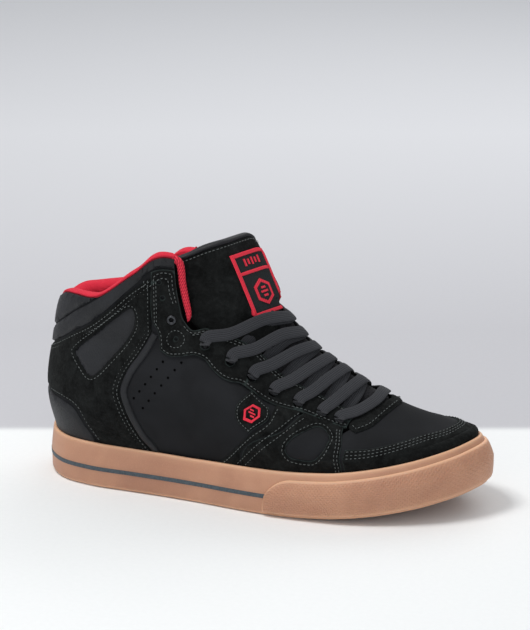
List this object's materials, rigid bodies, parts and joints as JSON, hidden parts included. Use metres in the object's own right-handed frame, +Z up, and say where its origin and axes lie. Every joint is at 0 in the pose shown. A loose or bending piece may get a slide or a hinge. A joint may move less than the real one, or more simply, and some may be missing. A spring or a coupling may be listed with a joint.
{
  "type": "high top shoe",
  "caption": "Right-foot lace-up high top shoe with a flat vulcanised rubber sole, layered suede upper, padded collar and padded tongue.",
  "frame": {"origin": "on the ground, under the middle of the shoe's bounding box", "axes": "+X to the toe, -Y to the outer (lateral) side, +Z up"},
  "size_m": [0.3048, 0.1126, 0.1743],
  "materials": {
    "gum_rubber": "matte gum rubber",
    "stripe_rubber": "blue-grey moulded rubber",
    "outsole_rubber": "matte, textured tread rubber",
    "midsole_foam": "closed-cell foam",
    "board_fibre": "fibre board",
    "black_suede": "suede with a short nap",
    "black_nubuck": "fine nubuck, lightly perforated",
    "grey_leather": "smooth coated leather",
    "red_textile": "knitted lining",
    "grey_textile": "woven lining",
    "lace_polyester": "flat braided polyester",
    "padding_foam": "open-cell foam",
    "stiffener_board": "thermoplastic-fibre board",
    "blackened_metal": "blackened metal",
    "aglet_plastic": "glossy plastic",
    "label_weave": "woven label"
  },
  "bodies": {
    "shoe": {"achilles_panel": "black_suede", "aglet_1": "aglet_plastic", "aglet_2": "aglet_plastic", "collar_band_lateral": "grey_leather", "collar_band_medial": "grey_leather", "collar_binding_lateral": "red_textile", "collar_binding_medial": "red_textile", "collar_foam": "padding_foam", "collar_lining": "red_textile", "emblem_mark": "red_textile", "emblem_patch": "black_suede", "eyelet_ring_lateral": "blackened_metal", "eyelet_ring_medial": "blackened_metal", "eyestay_lateral": "black_suede", "eyestay_medial": "black_suede", "forefoot_overlay_lateral": "black_suede", "forefoot_overlay_medial": "black_suede", "forefoot_window_lateral": "black_nubuck", "forefoot_window_medial": "black_nubuck", "foxing_band": "gum_rubber", "foxing_stripe": "stripe_rubber", "heel_counter": "stiffener_board", "heel_overlay_lateral": "black_suede", "heel_overlay_medial": "black_suede", "heel_patch": "grey_leather", "heel_window_lateral": "grey_leather", "heel_window_medial": "grey_leather", "insole_board": "board_fibre", "lace": "lace_polyester", "midsole": "midsole_foam", "outsole": "outsole_rubber", "quarter_lateral": "black_nubuck", "quarter_lining": "grey_textile", "quarter_medial": "black_nubuck", "quarter_piping_lateral": "grey_leather", "quarter_piping_medial": "grey_leather", "saddle_strap_lateral": "black_suede", "saddle_strap_medial": "black_suede", "throat_overlay": "black_suede", "toe_bumper": "gum_rubber", "toe_guard": "black_suede", "toe_puff": "stiffener_board", "tongue_lower": "grey_textile", "vamp": "black_nubuck", "vamp_lining": "grey_textile"},
    "tongue": {"tongue_top": "black_suede", "tongue_foam": "padding_foam", "tongue_lining": "grey_textile", "tongue_binding": "grey_leather", "tongue_label": "label_weave"},
    "sockliner": {"sockliner": "grey_textile"}
  },
  "joints": [
    {"name": "tongue_fold", "type": "hinge", "parent": "shoe", "child": "tongue", "pos_m": [0.00814, 0.00048, 0.121], "axis": [0, 1, 0], "range_deg": [0, 35], "stiffness_Nm_per_rad": 0.05},
    {"name": "sockliner_lift", "type": "hinge", "parent": "shoe", "child": "sockliner", "pos_m": [0.13014, 0.00848, 0.0272], "axis": [0, 1, 0], "range_deg": [0, 10]}
  ]
}
